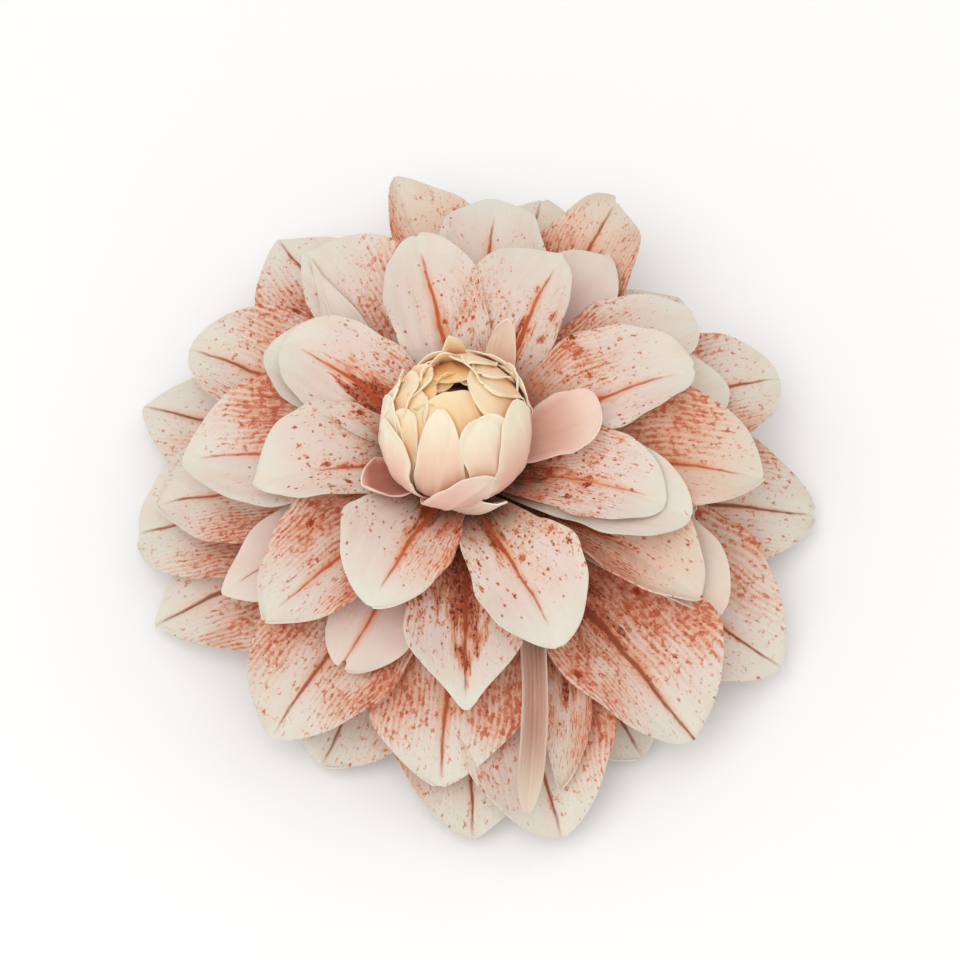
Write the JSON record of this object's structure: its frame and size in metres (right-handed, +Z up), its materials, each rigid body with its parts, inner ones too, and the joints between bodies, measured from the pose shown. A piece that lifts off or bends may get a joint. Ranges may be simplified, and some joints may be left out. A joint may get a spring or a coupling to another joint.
{
  "type": "artificial dahlia flower head",
  "caption": "Dahlia flower head of layered cloth petals round a tight bud, with a moulded calyx whose flat foot rests on a surface.",
  "frame": {"origin": "middle of the flat foot of the calyx, on the surface that the flower head rests on", "axes": "+Z up through the bud; +X to the right and +Y to the far side as seen from in front and above, where the shown petals droop towards the viewer on the -Y side"},
  "size_m": [0.1557, 0.1607, 0.072],
  "materials": {
    "calyx": "moulded, matte, with faint ribs",
    "peg": "moulded, plain",
    "printed_petal": "thin woven cloth, printed with rust streaks and specks",
    "plain_petal": "thin woven cloth, dyed pale rose",
    "collar_petal": "thin woven cloth, dyed rose to cream",
    "bud_petal": "thin woven cloth, dyed peach to cream"
  },
  "bodies": {
    "root": {"calyx": "calyx", "peg": "peg", "outer_petals": "printed_petal", "broad_petals": "printed_petal", "plain_petals": "plain_petal", "middle_petals": "printed_petal", "inner_petals": "printed_petal", "bud_collar": "collar_petal", "bud": "bud_petal"}
  },
  "joints": []
}
